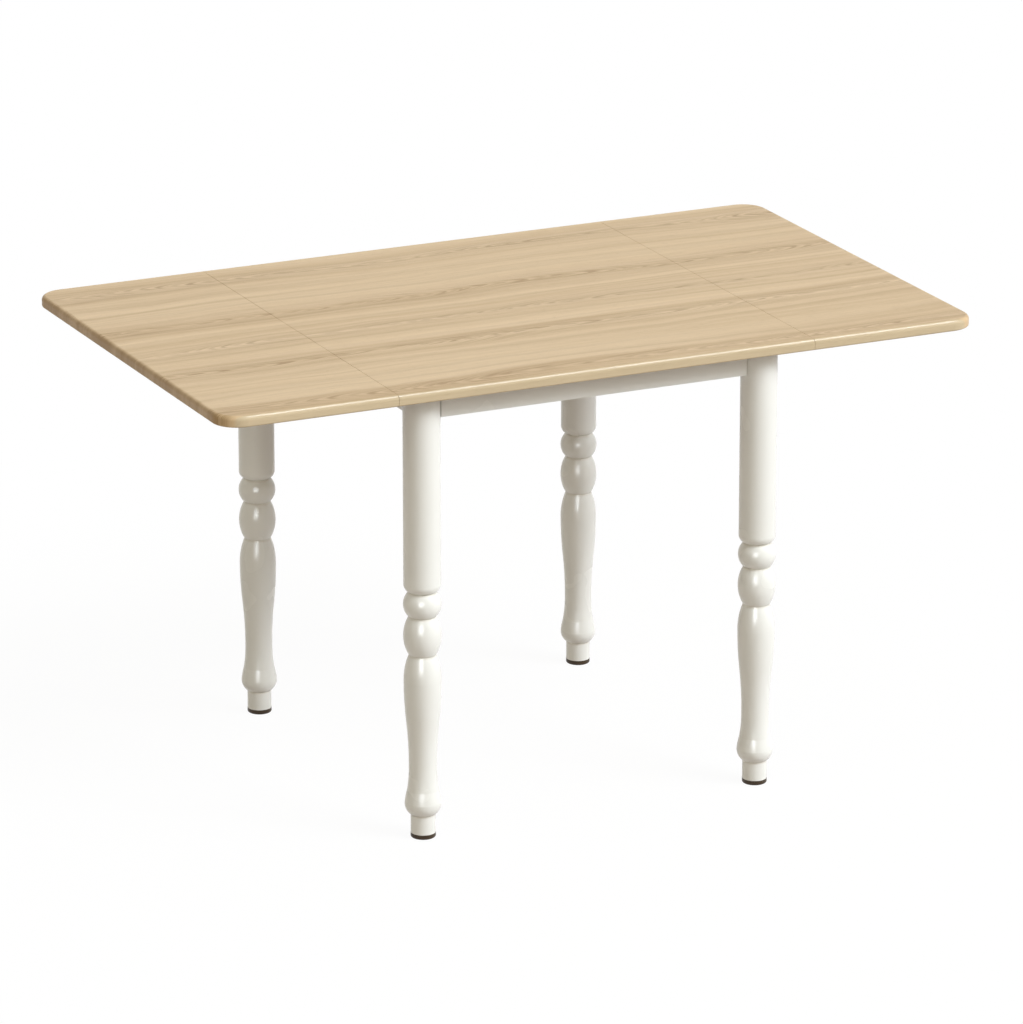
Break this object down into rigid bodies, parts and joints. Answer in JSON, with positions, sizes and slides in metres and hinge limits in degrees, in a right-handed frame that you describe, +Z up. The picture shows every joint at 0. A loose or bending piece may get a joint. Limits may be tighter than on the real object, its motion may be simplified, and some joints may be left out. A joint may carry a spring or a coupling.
{
  "type": "drop-leaf dining table",
  "caption": "Dining table with an oak-look top on turned white legs; its end leaves hinge down at the seams and are held up by swing-down props.",
  "frame": {"origin": "on the floor under the middle of the top", "axes": "+X along the table's length, +Y towards the back, +Z up"},
  "size_m": [1.3032, 0.78, 0.75],
  "materials": {
    "oak_foil_board": "satin oak-look foil on fibreboard",
    "white_enamel_wood": "satin white enamel on turned and planed wood",
    "black_plastic": "moulded black polyethylene",
    "zinc_plated_steel": "zinc-plated pressed steel",
    "white_coated_steel": "white powder coat on steel bar",
    "white_nylon": "moulded white nylon"
  },
  "bodies": {
    "table_frame": {"centre_panel": "oak_foil_board", "front_rail": "white_enamel_wood", "back_rail": "white_enamel_wood", "left_rail": "white_enamel_wood", "right_rail": "white_enamel_wood", "leg_front_left": "white_enamel_wood", "leg_front_right": "white_enamel_wood", "leg_back_left": "white_enamel_wood", "leg_back_right": "white_enamel_wood", "foot_front_left": "black_plastic", "foot_front_right": "black_plastic", "foot_back_left": "black_plastic", "foot_back_right": "black_plastic", "corner_bracket_front_left": "zinc_plated_steel", "corner_bracket_front_right": "zinc_plated_steel", "corner_bracket_back_left": "zinc_plated_steel", "corner_bracket_back_right": "zinc_plated_steel", "leg_bolts": "zinc_plated_steel", "leg_washers": "zinc_plated_steel", "leg_nuts": "zinc_plated_steel", "corner_bracket_screws": "zinc_plated_steel", "top_clips": "zinc_plated_steel", "top_clip_screws": "zinc_plated_steel", "frame_hinge_screws": "zinc_plated_steel", "prop_socket_screws": "zinc_plated_steel", "left_hinge_front_frame_flap": "zinc_plated_steel", "left_hinge_middle_frame_flap": "zinc_plated_steel", "left_hinge_back_frame_flap": "zinc_plated_steel", "left_hinge_pins": "zinc_plated_steel", "left_prop_socket_front": "white_nylon", "left_prop_socket_back": "white_nylon", "right_hinge_front_frame_flap": "zinc_plated_steel", "right_hinge_middle_frame_flap": "zinc_plated_steel", "right_hinge_back_frame_flap": "zinc_plated_steel", "right_hinge_pins": "zinc_plated_steel", "right_prop_socket_front": "white_nylon", "right_prop_socket_back": "white_nylon"},
    "left_leaf": {"left_leaf_panel": "oak_foil_board", "left_leaf_hinge_screws": "zinc_plated_steel", "left_prop_bracket_screws": "zinc_plated_steel", "left_prop_pins": "zinc_plated_steel", "left_hinge_front_leaf_flap": "zinc_plated_steel", "left_hinge_middle_leaf_flap": "zinc_plated_steel", "left_hinge_back_leaf_flap": "zinc_plated_steel", "left_prop_bracket_front": "zinc_plated_steel", "left_prop_bracket_back": "zinc_plated_steel"},
    "left_front_prop": {"left_prop_front": "white_coated_steel"},
    "left_back_prop": {"left_prop_back": "white_coated_steel"},
    "right_leaf": {"right_leaf_panel": "oak_foil_board", "right_leaf_hinge_screws": "zinc_plated_steel", "right_prop_bracket_screws": "zinc_plated_steel", "right_prop_pins": "zinc_plated_steel", "right_hinge_front_leaf_flap": "zinc_plated_steel", "right_hinge_middle_leaf_flap": "zinc_plated_steel", "right_hinge_back_leaf_flap": "zinc_plated_steel", "right_prop_bracket_front": "zinc_plated_steel", "right_prop_bracket_back": "zinc_plated_steel"},
    "right_front_prop": {"right_prop_front": "white_coated_steel"},
    "right_back_prop": {"right_prop_back": "white_coated_steel"}
  },
  "joints": [
    {"name": "left_leaf_fold", "type": "hinge", "parent": "table_frame", "child": "left_leaf", "pos_m": [-0.3588, 0, 0.7282], "axis": [0, -1, 0], "range_deg": [0, 90]},
    {"name": "left_front_prop_swing", "type": "hinge", "parent": "left_leaf", "child": "left_front_prop", "pos_m": [-0.4688, -0.19, 0.718], "axis": [0, 1, 0], "range_deg": [0, 173.88]},
    {"name": "left_back_prop_swing", "type": "hinge", "parent": "left_leaf", "child": "left_back_prop", "pos_m": [-0.4688, 0.19, 0.718], "axis": [0, 1, 0], "range_deg": [0, 173.88]},
    {"name": "right_leaf_fold", "type": "hinge", "parent": "table_frame", "child": "right_leaf", "pos_m": [0.3588, 0, 0.7282], "axis": [0, 1, 0], "range_deg": [0, 90]},
    {"name": "right_front_prop_swing", "type": "hinge", "parent": "right_leaf", "child": "right_front_prop", "pos_m": [0.4688, -0.19, 0.718], "axis": [0, -1, 0], "range_deg": [0, 173.88]},
    {"name": "right_back_prop_swing", "type": "hinge", "parent": "right_leaf", "child": "right_back_prop", "pos_m": [0.4688, 0.19, 0.718], "axis": [0, -1, 0], "range_deg": [0, 173.88]}
  ],
  "couplings": [
    {"joint": "left_front_prop_swing", "follows": "left_leaf_fold", "ratio": 1.932},
    {"joint": "left_back_prop_swing", "follows": "left_leaf_fold", "ratio": 1.932},
    {"joint": "right_front_prop_swing", "follows": "right_leaf_fold", "ratio": 1.932},
    {"joint": "right_back_prop_swing", "follows": "right_leaf_fold", "ratio": 1.932}
  ]
}
